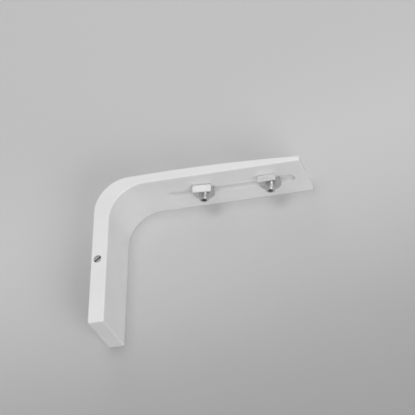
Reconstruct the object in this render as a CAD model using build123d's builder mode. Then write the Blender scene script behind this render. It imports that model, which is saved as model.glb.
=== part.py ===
"""Wall bracket for two curtain tracks: an L-shaped bar on a hidden wall plate, with two rail clips.

The wall is the plane X = 0 and +X points into the room. The arm reaches along +X, the leg hangs
down along -Z and the width runs along Y. The origin lies on the wall, midway between the two
holes of the wall plate. Sizes are in millimetres.
"""
import os
from math import cos, radians, sin

from build123d import *

# Leg, which stands on the wall and hides the wall plate
bar_width = 30.0
leg_thickness = 8.3
leg_below_centre = 34.2
inner_corner_radius = 17.9
outer_corner_radius = 17.7

# Arm, whose flat underside carries the clips and whose top is a long shallow curve
arm_reach = 105.6
arm_height = 39.4
arm_root_thickness = 5.1
arm_tip_thickness = 2.7
arm_rise = 1.4
edge_rounding = 0.7

# Slot along the arm, with a wider channel above it that keeps the nuts from turning
slot_start = 33.8
slot_from_tip = 5.8
slot_width = 6.2
slot_web_thickness = 2.0
channel_clearance = 0.2
channel_corner_radius = 1.0

# Wall plate, which sits in a pocket in the back of the leg
plate_height = 50.0
plate_width = 20.0
plate_thickness = 5.0
plate_corner_radius = 3.0
plate_clearance = 0.2
plate_edge_rounding = 0.3
wall_hole_spacing = 34.0
wall_hole_diameter = 4.5
wall_countersink_diameter = 9.0

# Grub screw through the side of the leg, which clamps the bar to the wall plate
grub_diameter = 4.0
grub_from_wall = 3.5
grub_sunk = 0.5
grub_tip_diameter = 2.0
grub_slot_width = 1.2
grub_slot_depth = 1.2
grub_slot_turn = 42.0
thread_clearance = 0.05

# Lengths closer together than this count as equal
tiny_length = 0.01

# Clip screws, with a round collar under the clip and a hexagon socket in the lower end, and their
# square nuts
screw_diameter = 5.0
collar_diameter = 10.8
collar_thickness = 1.6
collar_edge_chamfer = 0.3
stub_length = 3.4
screw_tip_chamfer = 0.4
screw_past_nut = 0.3
socket_across_flats = 2.5
socket_depth = 2.0
nut_width = 8.0
nut_thickness = 2.7
nut_edge_chamfer = 0.3

# Rail clips, each a strip with a round end and one sprung tab, which clears the collar
clip_width = 9.4
clip_sheet = 0.8
clip_bend_radius = 0.3
clip_hole_clearance = 0.1
tab_clearance = 0.35
tab_height = 4.6
tab_corner_radius = 0.5

# Where each clip stands, how far it and its screw are turned, and how far its tab leans outwards
track_pitch = 34.3
outer_clip_from_slot_end = 12.6
stations = {
    "inner": {"clip_turn": 6.0, "screw_turn": 22.0, "tab_lean": 0.0},
    "outer": {"clip_turn": -2.0, "screw_turn": -8.0, "tab_lean": 18.0},
}

# Sizes that follow from the ones above
half_width = bar_width / 2
leg_end = -leg_below_centre
arm_top = arm_height + arm_root_thickness
arm_tip_top = arm_height + arm_tip_thickness
web_top = arm_height + slot_web_thickness
channel_width = nut_width + 2 * channel_clearance
channel_overrun = (nut_width - screw_diameter) / 2 + channel_clearance
slot_end = arm_reach - slot_from_tip
slot_middle = (slot_start + slot_end) / 2
slot_length = slot_end - slot_start
pocket_depth = plate_thickness + plate_clearance
pocket_width = plate_width + 2 * plate_clearance
pocket_height = plate_height + 2 * plate_clearance
plate_edge = plate_width / 2
grub_length = half_width - plate_edge - grub_sunk
screw_tip_above_underside = slot_web_thickness + nut_thickness + screw_past_nut
tab_inner_face = collar_diameter / 2 + tab_clearance
outer_reach = slot_end - outer_clip_from_slot_end
reaches = {"inner": outer_reach - track_pitch, "outer": outer_reach}

side_plane = Plane.XZ
back_plane = Plane(origin=(0, 0, 0), x_dir=(0, 1, 0), z_dir=(1, 0, 0))
grub_face = Plane(origin=(grub_from_wall, grub_sunk - half_width, 0), x_dir=(1, 0, 0), z_dir=(0, -1, 0))


def seat_plane(reach, turn):
    """Plane on the arm's underside at a clip's screw, turned about the screw."""
    return Plane(origin=(reach, 0, arm_height)).rotated((0, 0, turn))


def cross_plane(seat):
    """Plane across the arm through a seat, with its own x across and its own y upwards."""
    return Plane(origin=seat.origin, x_dir=seat.y_dir, z_dir=seat.x_dir)


def screw_plane(seat):
    """Plane along the arm through a seat, with its own x outwards and its own y upwards."""
    return Plane(origin=seat.origin, x_dir=seat.x_dir, z_dir=-seat.y_dir)


def make_bracket_body():
    """The L-shaped bar, with its pocket, grub screw hole, slot and nut channel."""
    with BuildPart() as bracket_body:
        with BuildSketch(side_plane):
            with BuildLine():
                wall_line = Line((0, leg_end), (0, arm_top - outer_corner_radius))
                corner = JernArc(
                    start=wall_line @ 1,
                    tangent=(0, 1),
                    radius=outer_corner_radius,
                    arc_size=arm_rise - 90,
                )
                arm_curve = TangentArc(
                    corner @ 1, (arm_reach, arm_tip_top), tangent=corner % 1
                )
                tip = Line(arm_curve @ 1, (arm_reach, arm_height))
                underside = Line(tip @ 1, (leg_thickness + inner_corner_radius, arm_height))
                inner_corner = JernArc(
                    start=underside @ 1,
                    tangent=(-1, 0),
                    radius=inner_corner_radius,
                    arc_size=90,
                )
                leg_face = Line(inner_corner @ 1, (leg_thickness, leg_end))
                Line(leg_face @ 1, wall_line @ 0)
            make_face()
        extrude(amount=half_width, both=True)
        fillet(bracket_body.edges(), radius=edge_rounding)

        with BuildSketch(Plane.XY.offset(arm_height)):
            with Locations((slot_middle, 0)):
                SlotOverall(slot_length, slot_width)
        extrude(amount=slot_web_thickness, mode=Mode.SUBTRACT)

        with BuildSketch(Plane.XY.offset(web_top)):
            with Locations((slot_middle, 0)):
                RectangleRounded(slot_length + 2 * channel_overrun, channel_width, channel_corner_radius)
        extrude(amount=arm_root_thickness, mode=Mode.SUBTRACT)

        with BuildSketch(back_plane):
            RectangleRounded(pocket_width, pocket_height, plate_corner_radius + plate_clearance)
        extrude(amount=pocket_depth, mode=Mode.SUBTRACT)

        with BuildSketch(grub_face.offset(grub_sunk)):
            Circle(grub_diameter / 2 + thread_clearance)
        extrude(amount=-(half_width - pocket_width / 2), mode=Mode.SUBTRACT)
    return bracket_body.part


def make_wall_plate():
    """The plate screwed to the wall, with two countersunk holes facing the room."""
    with BuildPart() as wall_plate:
        with BuildSketch(back_plane):
            RectangleRounded(plate_width, plate_height, plate_corner_radius)
        extrude(amount=plate_thickness)
        room_face = wall_plate.faces().sort_by(Axis.X)[-1]
        fillet(room_face.edges(), radius=plate_edge_rounding)
        with Locations(back_plane.offset(plate_thickness)):
            with GridLocations(0, wall_hole_spacing, 1, 2):
                CounterSinkHole(wall_hole_diameter / 2, wall_countersink_diameter / 2)
    return wall_plate.part


def make_grub_screw():
    """The slotted grub screw, whose cone point presses on the edge of the wall plate."""
    point_length = (grub_diameter - grub_tip_diameter) / 2
    with BuildPart() as grub_screw:
        with BuildSketch(grub_face):
            Circle(grub_diameter / 2)
        extrude(amount=-grub_length)
        tip_edge = grub_screw.edges().filter_by(GeomType.CIRCLE).sort_by(Axis.Y)[-1]
        chamfer(tip_edge, length=point_length)
        with BuildSketch(grub_face):
            Rectangle(2 * grub_diameter, grub_slot_width, rotation=grub_slot_turn)
        extrude(amount=-grub_slot_depth, mode=Mode.SUBTRACT)
    return grub_screw.part


def make_rail_clip(seat, tab_lean):
    """A strip clamped under the arm, round at one end and bent down into a tab at the other."""
    middle_bend = clip_bend_radius + clip_sheet / 2
    middle_height = -clip_sheet / 2
    tab_top = (-tab_inner_face + middle_height, middle_height)
    tab_run = tab_height + middle_height
    tab_end = (
        tab_top[0] - tab_run * sin(radians(tab_lean)),
        tab_top[1] - tab_run * cos(radians(tab_lean)),
    )
    with BuildPart() as rail_clip:
        with BuildSketch(cross_plane(seat)):
            with BuildLine():
                FilletPolyline((clip_width / 2, middle_height), tab_top, tab_end, radius=middle_bend)
            trace(line_width=clip_sheet)
        extrude(amount=clip_width / 2, both=True)
        tab_corners = rail_clip.edges().filter_by(is_sheet_edge).sort_by(Axis.Z)[:2]
        fillet(tab_corners, radius=tab_corner_radius)
        with BuildSketch(seat):
            Circle(clip_width / 2)
            with Locations((0, -tab_height - tab_inner_face)):
                Rectangle(clip_width, tab_height + tab_inner_face, align=(Align.CENTER, Align.MIN))
        extrude(amount=-2 * tab_height, mode=Mode.INTERSECT)
        with BuildSketch(seat):
            Circle(screw_diameter / 2 + clip_hole_clearance)
        extrude(amount=-2 * clip_sheet, mode=Mode.SUBTRACT)
    return rail_clip.part


def is_sheet_edge(edge):
    """Whether an edge runs straight through the clip's sheet."""
    return edge.geom_type == GeomType.LINE and abs(edge.length - clip_sheet) < tiny_length


def make_clip_screw(seat):
    """A screw whose collar clamps the clip under the arm, with its lower end standing out."""
    collar_top = -clip_sheet
    collar_bottom = collar_top - collar_thickness
    stub_end = collar_bottom - stub_length
    shank_radius = screw_diameter / 2
    collar_radius = collar_diameter / 2
    with BuildPart() as clip_screw:
        with BuildSketch(screw_plane(seat)):
            with BuildLine():
                Polyline(
                    (0, stub_end),
                    (shank_radius - screw_tip_chamfer, stub_end),
                    (shank_radius, stub_end + screw_tip_chamfer),
                    (shank_radius, collar_bottom),
                    (collar_radius - collar_edge_chamfer, collar_bottom),
                    (collar_radius, collar_bottom + collar_edge_chamfer),
                    (collar_radius, collar_top - collar_edge_chamfer),
                    (collar_radius - collar_edge_chamfer, collar_top),
                    (shank_radius, collar_top),
                    (shank_radius, screw_tip_above_underside - screw_tip_chamfer),
                    (shank_radius - screw_tip_chamfer, screw_tip_above_underside),
                    (0, screw_tip_above_underside),
                    close=True,
                )
            make_face()
        revolve(axis=Axis(seat.origin, seat.z_dir))
        with BuildSketch(seat.offset(stub_end)):
            RegularPolygon(socket_across_flats / 2, 6, major_radius=False)
        extrude(amount=socket_depth, mode=Mode.SUBTRACT)
    return clip_screw.part


def make_square_nut(seat):
    """A flat square nut lying on the web of the slot."""
    with BuildPart() as square_nut:
        with BuildSketch(seat.offset(slot_web_thickness)):
            Rectangle(nut_width, nut_width)
        extrude(amount=nut_thickness)
        chamfer(square_nut.edges().filter_by(Axis.Z), length=nut_edge_chamfer)
        with BuildSketch(seat.offset(slot_web_thickness)):
            Circle(screw_diameter / 2 + thread_clearance)
        extrude(amount=nut_thickness, mode=Mode.SUBTRACT)
    return square_nut.part


pieces = {
    "bracket_body": make_bracket_body(),
    "wall_plate": make_wall_plate(),
    "grub_screw": make_grub_screw(),
}
for side, station in stations.items():
    reach = reaches[side]
    clip_seat = seat_plane(reach, station["clip_turn"])
    pieces[f"{side}_rail_clip"] = make_rail_clip(clip_seat, station["tab_lean"])
    pieces[f"{side}_clip_screw"] = make_clip_screw(seat_plane(reach, station["screw_turn"]))
    pieces[f"{side}_square_nut"] = make_square_nut(seat_plane(reach, 0))

os.makedirs("parts", exist_ok=True)
for name, piece in pieces.items():
    piece.label = name
    export_step(piece, f"parts/{name}.step")
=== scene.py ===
"""Dresses the curtain track bracket: finishes, fine small parts, backdrop, lights and camera.

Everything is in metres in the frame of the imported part. The wall is the plane X = 0, the arm
reaches along +X and the leg hangs down along -Z. In the picture the bracket lies on its side, so
the surface under it is the plane where Y equals half the bar's width, and "up" there is -Y.
"""
import logging
import math
from dataclasses import dataclass
from enum import Enum

import bmesh
import bpy
from mathutils import Matrix, Vector


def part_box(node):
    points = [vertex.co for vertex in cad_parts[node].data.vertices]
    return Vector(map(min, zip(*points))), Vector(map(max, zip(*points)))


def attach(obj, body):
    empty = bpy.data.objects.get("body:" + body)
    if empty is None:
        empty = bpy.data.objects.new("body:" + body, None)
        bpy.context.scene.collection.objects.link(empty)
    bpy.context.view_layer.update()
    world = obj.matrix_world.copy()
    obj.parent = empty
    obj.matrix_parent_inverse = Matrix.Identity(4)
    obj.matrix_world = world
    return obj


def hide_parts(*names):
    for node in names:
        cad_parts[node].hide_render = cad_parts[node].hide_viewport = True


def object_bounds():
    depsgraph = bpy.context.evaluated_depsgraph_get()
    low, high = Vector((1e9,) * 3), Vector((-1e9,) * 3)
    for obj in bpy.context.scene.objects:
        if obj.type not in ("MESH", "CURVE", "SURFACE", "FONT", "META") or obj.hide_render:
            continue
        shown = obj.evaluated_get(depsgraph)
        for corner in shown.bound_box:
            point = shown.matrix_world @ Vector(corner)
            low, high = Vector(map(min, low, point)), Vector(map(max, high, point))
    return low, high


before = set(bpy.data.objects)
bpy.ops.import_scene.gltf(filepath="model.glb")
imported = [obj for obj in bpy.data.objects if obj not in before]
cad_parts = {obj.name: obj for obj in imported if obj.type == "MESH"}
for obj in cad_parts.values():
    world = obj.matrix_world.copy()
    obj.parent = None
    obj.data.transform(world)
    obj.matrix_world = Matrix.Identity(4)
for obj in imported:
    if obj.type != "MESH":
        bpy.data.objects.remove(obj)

CAD_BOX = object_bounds()
MM = 0.001
MERGE_DISTANCE = 0.001 * MM
LOG = logging.getLogger("bracket")

Colour = tuple[float, float, float]
Point = tuple[float, float, float]
Corner = tuple[float, float]
Stop = tuple[float, float]
Socket = bpy.types.NodeSocket
Material = bpy.types.Material


class Side(Enum):
    """The two clip places along the arm."""

    INNER = "inner"
    OUTER = "outer"


# Finishes


class Shader:
    """A new material with one Principled shader and short ways to add nodes to it."""

    # Nearly all of a noise's values lie between these two
    NOISE_LOW = 0.3
    NOISE_HIGH = 0.7

    def __init__(self, name: str) -> None:
        """Make the material.

        Args:
            name: The material's name.
        """
        self.material = bpy.data.materials.new(name)
        self.material.use_nodes = True
        self.nodes = self.material.node_tree.nodes
        self.links = self.material.node_tree.links
        self.nodes.clear()
        self.output = self.nodes.new("ShaderNodeOutputMaterial")
        self.principled = self.nodes.new("ShaderNodeBsdfPrincipled")
        self.links.new(self.principled.outputs["BSDF"], self.output.inputs["Surface"])
        self.coordinates = self.nodes.new("ShaderNodeTexCoord")

    def set(self, socket: str, value: float) -> None:
        """Set one constant on the shader's own socket."""
        self.principled.inputs[socket].default_value = value

    def noise(self, per_metre: float, detail: float, stretch: Point = (1, 1, 1)) -> Socket:
        """Add a noise on object coordinates.

        Args:
            per_metre: Features per metre.
            detail: Octaves of the noise.
            stretch: Scale along each axis before the noise.

        Returns:
            The noise's factor.
        """
        mapping = self.nodes.new("ShaderNodeMapping")
        mapping.inputs["Scale"].default_value = stretch
        self.links.new(self.coordinates.outputs["Object"], mapping.inputs["Vector"])
        texture = self.nodes.new("ShaderNodeTexNoise")
        texture.inputs["Scale"].default_value = per_metre
        texture.inputs["Detail"].default_value = detail
        self.links.new(mapping.outputs["Vector"], texture.inputs["Vector"])
        return texture.outputs["Fac"]

    def spread(self, noise: Socket, low: float, high: float) -> Socket:
        """Map a noise to a range of values.

        Args:
            noise: The noise's factor.
            low: The value where the noise is low.
            high: The value where the noise is high.

        Returns:
            The mapped value.
        """
        ranged = self.nodes.new("ShaderNodeMapRange")
        ranged.inputs["From Min"].default_value = self.NOISE_LOW
        ranged.inputs["From Max"].default_value = self.NOISE_HIGH
        ranged.inputs["To Min"].default_value = low
        ranged.inputs["To Max"].default_value = high
        self.links.new(noise, ranged.inputs["Value"])
        return ranged.outputs["Result"]

    def tint(self, noise: Socket, dark: Colour, light: Colour) -> None:
        """Vary the base colour between two tones.

        Args:
            noise: What varies it.
            dark: The tone where the noise is low.
            light: The tone where the noise is high.
        """
        ramp = self.nodes.new("ShaderNodeValToRGB")
        first, last = ramp.color_ramp.elements
        first.position = self.NOISE_LOW
        first.color = (*dark, 1.0)
        last.position = self.NOISE_HIGH
        last.color = (*light, 1.0)
        self.links.new(noise, ramp.inputs["Fac"])
        self.links.new(ramp.outputs["Color"], self.principled.inputs["Base Color"])

    def rough(self, noise: Socket, low: float, high: float) -> None:
        """Vary the roughness between two values.

        Args:
            noise: What varies it.
            low: The roughness where the noise is low.
            high: The roughness where the noise is high.
        """
        self.links.new(self.spread(noise, low, high), self.principled.inputs["Roughness"])

    def bump(self, height: Socket, depth: float) -> None:
        """Press a pattern into the surface.

        Args:
            height: The pattern.
            depth: Its depth in metres.
        """
        node = self.nodes.new("ShaderNodeBump")
        node.inputs["Distance"].default_value = depth
        self.links.new(height, node.inputs["Height"])
        self.links.new(node.outputs["Normal"], self.principled.inputs["Normal"])


@dataclass(frozen=True)
class PowderCoat:
    """White satin powder coat with a fine orange peel."""

    name: str = "white_powder_coat"
    dark: Colour = (0.80, 0.80, 0.80)
    light: Colour = (0.84, 0.84, 0.84)
    roughness: tuple[float, float] = (0.3, 0.38)
    mottle_per_metre: float = 60.0
    mottle_detail: float = 3.0
    sheen_per_metre: float = 300.0
    peel_per_metre: float = 900.0
    peel_detail: float = 2.0
    peel_depth: float = 0.02 * MM

    def material(self) -> Material:
        """Make the coat.

        Returns:
            The finished material.
        """
        shader = Shader(self.name)
        shader.tint(shader.noise(self.mottle_per_metre, self.mottle_detail), self.dark, self.light)
        shader.rough(shader.noise(self.sheen_per_metre, self.peel_detail), *self.roughness)
        shader.bump(shader.noise(self.peel_per_metre, self.peel_detail), self.peel_depth)
        return shader.material


@dataclass(frozen=True)
class Zinc:
    """Bare or plated metal: fine lines along one direction, with a cloudy tone and roughness."""

    name: str
    dark: Colour
    light: Colour
    roughness: tuple[float, float]
    grain: Point = (1, 1, 1)
    cloud_per_metre: float = 350.0
    cloud_detail: float = 3.0
    sheen_per_metre: float = 595.0
    grain_per_metre: float = 1500.0
    grain_detail: float = 2.0
    grain_depth: float = 0.006 * MM

    def material(self) -> Material:
        """Make the metal.

        Returns:
            The finished material.
        """
        shader = Shader(self.name)
        shader.set("Metallic", 1.0)
        shader.tint(shader.noise(self.cloud_per_metre, self.cloud_detail), self.dark, self.light)
        shader.rough(shader.noise(self.sheen_per_metre, self.grain_detail), *self.roughness)
        shader.bump(shader.noise(self.grain_per_metre, self.grain_detail, self.grain), self.grain_depth)
        return shader.material


PLATE_ZINC = Zinc("dull_zinc", (0.42, 0.43, 0.44), (0.52, 0.53, 0.54), (0.42, 0.58))
SHEET_ZINC = Zinc(
    "bright_zinc_sheet", (0.83, 0.83, 0.825), (0.9, 0.9, 0.895), (0.52, 0.64), grain=(0.1, 1, 1)
)
SCREW_ZINC = Zinc("zinc_screw", (0.55, 0.55, 0.55), (0.65, 0.65, 0.65), (0.28, 0.4))
DARK_STEEL = Zinc("dark_steel", (0.42, 0.42, 0.43), (0.52, 0.52, 0.53), (0.38, 0.5))


@dataclass(frozen=True)
class StudioPaper:
    """Matt paper with painted light in its tone: darker towards the camera as painted shade of the light
    falling off, and faintly lighter mid-run as painted bounce light; solid from the front and clear from
    behind.
    """

    name: str = "studio_paper"
    # These tones are painted light: shade from the light falling off towards the camera, and a faint
    # brightening mid-run from bounce light.
    painted_light_tones: tuple[Stop, ...] = ((0.0, 0.35), (0.24, 0.47), (0.46, 0.62), (0.7, 0.615), (1.0, 0.63))
    run: Point = (-0.22, 0.0, 1.0)
    run_start: float = -0.13
    run_end: float = 0.21
    roughness: float = 0.9
    cloudiness: float = 0.006
    cloud_per_metre: float = 25.0
    grain_per_metre: float = 900.0
    noise_detail: float = 2.0
    grain_depth: float = 0.03 * MM

    def place_on_run(self, shader: Shader) -> Socket:
        """Measure how far along the paper's run a point lies, with a faint cloudiness.

        Args:
            shader: The shader to add to.

        Returns:
            The place, 0 at the run's start and 1 at its end.
        """
        along = shader.nodes.new("ShaderNodeVectorMath")
        along.operation = "DOT_PRODUCT"
        along.inputs[1].default_value = self.run
        shader.links.new(shader.coordinates.outputs["Object"], along.inputs[0])
        place = shader.nodes.new("ShaderNodeMapRange")
        place.inputs["From Min"].default_value = self.run_start
        place.inputs["From Max"].default_value = self.run_end
        shader.links.new(along.outputs["Value"], place.inputs["Value"])
        noise = shader.noise(self.cloud_per_metre, self.noise_detail)
        total = shader.nodes.new("ShaderNodeMath")
        shader.links.new(place.outputs["Result"], total.inputs[0])
        shader.links.new(shader.spread(noise, -self.cloudiness, self.cloudiness), total.inputs[1])
        return total.outputs["Value"]

    def paint_light_grade(self, shader: Shader, place: Socket) -> None:
        """Paint the paper's tone, with its painted falloff shade and bounce light, by a point's place on the
        run.

        Args:
            shader: The shader to add to.
            place: The place on the run.
        """
        ramp = shader.nodes.new("ShaderNodeValToRGB")
        ramp.color_ramp.interpolation = "CARDINAL"
        while len(ramp.color_ramp.elements) < len(self.painted_light_tones):
            ramp.color_ramp.elements.new(0.5)
        for element, (position, tone) in zip(ramp.color_ramp.elements, self.painted_light_tones):
            element.position = position
            element.color = (tone, tone, tone, 1.0)
        shader.links.new(place, ramp.inputs["Fac"])
        shader.links.new(ramp.outputs["Color"], shader.principled.inputs["Base Color"])

    def clear_from_behind(self, shader: Shader) -> None:
        """Let a camera behind the paper see through it.

        Args:
            shader: The shader to add to.
        """
        clear = shader.nodes.new("ShaderNodeBsdfTransparent")
        geometry = shader.nodes.new("ShaderNodeNewGeometry")
        mix = shader.nodes.new("ShaderNodeMixShader")
        shader.links.new(geometry.outputs["Backfacing"], mix.inputs["Fac"])
        shader.links.new(shader.principled.outputs["BSDF"], mix.inputs[1])
        shader.links.new(clear.outputs["BSDF"], mix.inputs[2])
        shader.links.new(mix.outputs["Shader"], shader.output.inputs["Surface"])

    def material(self) -> Material:
        """Make the paper.

        Returns:
            The finished material.
        """
        shader = Shader(self.name)
        shader.set("Roughness", self.roughness)
        self.paint_light_grade(shader, self.place_on_run(shader))
        shader.bump(shader.noise(self.grain_per_metre, self.noise_detail), self.grain_depth)
        self.clear_from_behind(shader)
        return shader.material


# Helpers for the pieces


def dress(node: str, material: Material) -> None:
    """Give a CAD node its finish.

    Args:
        node: The node's name.
        material: The finish.
    """
    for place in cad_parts[node].material_slots:
        place.material = material
    LOG.info("dressed %s in %s", node, material.name)


def as_piece(shape: bmesh.types.BMesh, name: str, material: Material, sharp_angle: float) -> bpy.types.Object:
    """Make a closed shape an object, smooth between its sharp edges.

    Args:
        shape: The shape, freed afterwards.
        name: The object's name.
        material: The finish.
        sharp_angle: Edges sharper than this stay sharp.

    Returns:
        The object, linked to the scene.
    """
    bmesh.ops.recalc_face_normals(shape, faces=shape.faces)
    for face in shape.faces:
        face.smooth = True
    mesh = bpy.data.meshes.new(name)
    shape.to_mesh(mesh)
    shape.free()
    mesh.set_sharp_from_angle(angle=sharp_angle)
    mesh.materials.append(material)
    piece = bpy.data.objects.new(name, mesh)
    bpy.context.scene.collection.objects.link(piece)
    return piece


def seat(piece: bpy.types.Object, node: str, body: str) -> None:
    """Put a finished piece in place of a CAD node.

    Args:
        piece: The piece.
        node: The node that it stands for.
        body: The body that it rides on.
    """
    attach(piece, body)
    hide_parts(node)
    LOG.info("%s replaces %s with %d faces", piece.name, node, len(piece.data.polygons))


@dataclass(frozen=True)
class RoundedCopy:
    """A small CAD piece with its sharp edges broken, as rumbled and plated parts have them."""

    node: str
    body: str
    slot: str
    rounding: float = 0.12 * MM
    segments: int = 2
    sharp_angle: float = math.radians(40)
    flat_angle: float = math.radians(1)

    def build(self, material: Material) -> None:
        """Copy the CAD piece, merge its faces, round its edges and put it in the node's place.

        Args:
            material: The finish.
        """
        shape = bmesh.new()
        shape.from_mesh(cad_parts[self.node].data)
        bmesh.ops.remove_doubles(shape, verts=shape.verts, dist=MERGE_DISTANCE)
        bmesh.ops.dissolve_limit(
            shape, angle_limit=self.flat_angle, verts=shape.verts, edges=shape.edges,
            use_dissolve_boundaries=False, delimit=set(),
        )
        piece = as_piece(shape, f"{self.node}_rounded", material, self.sharp_angle)
        bevel = piece.modifiers.new("rounding", "BEVEL")
        bevel.width = self.rounding
        bevel.segments = self.segments
        bevel.limit_method = "ANGLE"
        bevel.angle_limit = self.sharp_angle
        seat(piece, self.node, self.body)


# The bracket


@dataclass(frozen=True)
class Bar:
    """The L-shaped bar, which has all its forms and roundings from CAD."""

    coat: PowderCoat = PowderCoat()

    def build(self) -> None:
        """Coat the bar."""
        dress("bracket_body", self.coat.material())


@dataclass(frozen=True)
class WallFixing:
    """The wall plate in the back of the leg and the grub screw that clamps the bar to it."""

    plate_finish: Zinc = PLATE_ZINC
    screw_finish: Zinc = DARK_STEEL
    screw: RoundedCopy = RoundedCopy("grub_screw", "bracket", "screw_steel")

    def build(self) -> None:
        """Dress the plate and make the grub screw."""
        dress("wall_plate", self.plate_finish.material())
        self.screw.build(self.screw_finish.material())


@dataclass(frozen=True)
class ClipScrew:
    """A clip screw turned with its thread, its collar and the hexagon socket in its lower end."""

    shank_radius: float = 2.5 * MM
    pitch: float = 0.8 * MM
    thread_depth: float = 0.3 * MM
    crest: float = 0.3
    runout: float = 0.2 * MM
    collar_thickness: float = 1.6 * MM
    collar_chamfer: float = 0.3 * MM
    collar_above_end: float = 3.4 * MM
    end_chamfer: float = 0.4 * MM
    socket_apothem: float = 1.25 * MM
    socket_depth: float = 2.0 * MM
    socket_tolerance: float = 0.01 * MM
    socket_corner_angle: float = math.radians(60)
    sharp_angle: float = math.radians(35)
    steps: int = 60

    def thread(self, bottom: float, top: float) -> list[Corner]:
        """Draw ridges between two heights.

        Args:
            bottom: Where the thread starts.
            top: Where it ends.

        Returns:
            Radius and height of each corner, upwards.
        """
        count = int((top - bottom) / self.pitch)
        root = self.shank_radius - self.thread_depth
        root_share = (1 + self.crest) / 2
        corners = []
        for turn in range(count):
            start = bottom + turn * self.pitch
            corners.append((self.shank_radius, start))
            corners.append((self.shank_radius, start + self.crest * self.pitch))
            corners.append((root, start + root_share * self.pitch))
        corners.append((self.shank_radius, bottom + count * self.pitch))
        return corners

    def profile(self, low: float, high: float, collar_radius: float) -> list[Corner]:
        """Draw half the outline, from the middle of the socket's floor up to the middle of the tip.

        Args:
            low: Height of the lower end.
            high: Height of the tip.
            collar_radius: Radius of the collar.

        Returns:
            Radius and height of each corner.
        """
        collar_bottom = low + self.collar_above_end
        collar_top = collar_bottom + self.collar_thickness
        edge = collar_radius - self.collar_chamfer
        narrow = self.shank_radius - self.end_chamfer
        return [
            (0, low + self.socket_depth),
            (self.socket_apothem, low + self.socket_depth),
            (self.socket_apothem, low),
            (narrow, low),
            *self.thread(low + self.end_chamfer, collar_bottom - self.runout),
            (self.shank_radius, collar_bottom),
            (edge, collar_bottom),
            (collar_radius, collar_bottom + self.collar_chamfer),
            (collar_radius, collar_top - self.collar_chamfer),
            (edge, collar_top),
            (self.shank_radius, collar_top),
            *self.thread(collar_top + self.pitch, high - self.end_chamfer),
            (narrow, high),
            (0, high),
        ]

    def turn(self, low: Vector, high: Vector) -> bmesh.types.BMesh:
        """Turn the screw about its axis.

        Args:
            low: The lower corner of the CAD screw's box.
            high: The upper corner of it.

        Returns:
            The turned shape, with a round socket.
        """
        axis = (low + high) / 2
        corners = self.profile(low.z, high.z, (high.x - low.x) / 2)
        shape = bmesh.new()
        line = [shape.verts.new((axis.x + radius, axis.y, height)) for radius, height in corners]
        edges = [shape.edges.new(pair) for pair in zip(line, line[1:])]
        bmesh.ops.spin(
            shape, geom=line + edges, cent=axis, axis=(0, 0, 1), angle=math.tau, steps=self.steps,
            use_merge=True,
        )
        bmesh.ops.remove_doubles(shape, verts=shape.verts, dist=MERGE_DISTANCE)
        return shape

    def press_socket(self, shape: bmesh.types.BMesh, axis: Vector) -> None:
        """Move the round socket's wall out to a hexagon.

        Args:
            shape: The turned screw.
            axis: A point on the screw's axis.
        """
        for vert in shape.verts:
            out = Vector((vert.co.x - axis.x, vert.co.y - axis.y))
            if abs(out.length - self.socket_apothem) < self.socket_tolerance:
                turned = math.remainder(math.atan2(out.y, out.x), self.socket_corner_angle)
                reach = self.socket_apothem / math.cos(turned)
                vert.co.x = axis.x + out.x * reach / out.length
                vert.co.y = axis.y + out.y * reach / out.length

    def build(self, side: Side, material: Material) -> None:
        """Make the screw and put it in place of the CAD one.

        Args:
            side: Which clip it holds.
            material: The finish.
        """
        node = f"{side.value}_clip_screw"
        low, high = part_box(node)
        shape = self.turn(low, high)
        self.press_socket(shape, (low + high) / 2)
        piece = as_piece(shape, f"{node}_turned", material, self.sharp_angle)
        seat(piece, node, f"{side.value}_carriage")


@dataclass(frozen=True)
class ClipStation:
    """A track clip with the screw and the square nut that slide along the slot with it."""

    side: Side
    screw: ClipScrew = ClipScrew()

    def build(self, sheet: Material, turned: Material) -> None:
        """Make the screw, the clip and the nut.

        Args:
            sheet: The finish of the bent clip.
            turned: The finish of the screw and the nut.
        """
        name = self.side.value
        self.screw.build(self.side, turned)
        RoundedCopy(f"{name}_rail_clip", f"{name}_clip", "clip_zinc").build(sheet)
        RoundedCopy(f"{name}_square_nut", f"{name}_carriage", "screw_zinc").build(turned)


# The studio


@dataclass(frozen=True)
class Backdrop:
    """The paper that the bracket lies on in the picture."""

    width: float = 6.0
    gap: float = 0.05 * MM
    finish: StudioPaper = StudioPaper()

    def build(self) -> None:
        """Lay the paper against the bar's far side, as part of the stage."""
        _, high = CAD_BOX
        depth = high.y + self.gap
        shape = bmesh.new()
        turned = Matrix.Translation((0, depth, 0)) @ Matrix.Rotation(math.pi / 2, 4, "X")
        bmesh.ops.create_grid(shape, x_segments=1, y_segments=1, size=self.width / 2, matrix=turned)
        mesh = bpy.data.meshes.new("backdrop")
        shape.to_mesh(mesh)
        shape.free()
        mesh.materials.append(self.finish.material())
        surface = bpy.data.objects.new("backdrop", mesh)
        bpy.context.scene.collection.objects.link(surface)
        surface.visible_shadow = False
        LOG.info("backdrop at y = %.5f", depth)


@dataclass(frozen=True)
class Softbox:
    """A square soft light aimed at the bracket."""

    name: str
    place: Point
    size: float
    power: float

    def build(self, target: Vector) -> None:
        """Hang the light.

        Args:
            target: The point it is aimed at.
        """
        lamp = bpy.data.lights.new(self.name, "AREA")
        lamp.shape = "SQUARE"
        lamp.size = self.size
        lamp.energy = self.power
        light = bpy.data.objects.new(self.name, lamp)
        light.location = self.place
        light.rotation_mode = "QUATERNION"
        light.rotation_quaternion = (target - Vector(self.place)).to_track_quat("-Z", "Y")
        bpy.context.scene.collection.objects.link(light)


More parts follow.
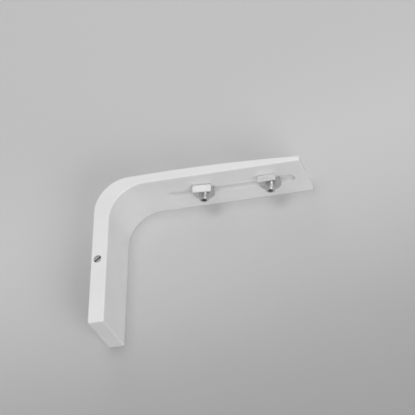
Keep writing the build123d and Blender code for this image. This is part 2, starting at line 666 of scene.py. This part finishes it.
@dataclass(frozen=True)
class Studio:
    """Soft light all round, with softboxes above the lying bracket and one behind the paper.

    The paper casts no shadow, so the softbox behind it lights the side that the bracket lies on.
    """

    ambient: float = 0.42
    softboxes: tuple[Softbox, ...] = (
        Softbox("overhead", (0.0, -1.3, 0.06), 0.5, 4.4),
        Softbox("far_side", (-0.2, -0.9, 1.1), 0.8, 1.6),
        Softbox("front_right", (0.55, -0.5, -0.58), 0.4, 2.9),
        Softbox("behind", (-0.5, 1.1, 0.35), 1.0, 9.0),
    )

    def build(self) -> None:
        """Make the world and the lights."""
        world = bpy.data.worlds.new("studio")
        world.use_nodes = True
        background = world.node_tree.nodes["Background"]
        background.inputs["Color"].default_value = (1, 1, 1, 1)
        background.inputs["Strength"].default_value = self.ambient
        bpy.context.scene.world = world
        low, high = CAD_BOX
        for softbox in self.softboxes:
            softbox.build((low + high) / 2)
        LOG.info("studio with %d softboxes", len(self.softboxes))


@dataclass(frozen=True)
class Viewpoint:
    """The camera of the picture, below and in front of the arm, looking up at its underside."""

    place: Point = (0.2490, -0.6138, -0.3371)
    azimuth: float = 17.56
    elevation: float = 29.63
    roll: float = 0.82
    lens: float = 129.16
    sensor: float = 36.0

    def build(self) -> None:
        """Make the camera and use it for the scene."""
        data = bpy.data.cameras.new("viewpoint")
        data.lens = self.lens
        data.sensor_width = self.sensor
        camera = bpy.data.objects.new("viewpoint", data)
        turn = math.radians(self.azimuth)
        rise = math.radians(self.elevation)
        ahead = Vector((-math.sin(turn) * math.cos(rise), math.cos(turn) * math.cos(rise), math.sin(rise)))
        level = ahead.to_track_quat("-Z", "Y").to_matrix()
        rolled = Matrix.Rotation(math.radians(-self.roll), 3, ahead) @ level
        camera.matrix_world = Matrix.Translation(self.place) @ rolled.to_4x4()
        bpy.context.scene.collection.objects.link(camera)
        bpy.context.scene.camera = camera
        LOG.info("camera at %s", self.place)


def main() -> None:
    """Set up the studio, dress the bracket and report each piece."""
    logging.basicConfig(level=logging.INFO, format="%(name)s: %(message)s")
    bpy.context.scene.view_settings.view_transform = "Standard"
    Viewpoint().build()
    Backdrop().build()
    Studio().build()
    Bar().build()
    WallFixing().build()
    sheet = SHEET_ZINC.material()
    turned = SCREW_ZINC.material()
    for side in Side:
        ClipStation(side).build(sheet, turned)


if __name__ == "__main__":
    main()
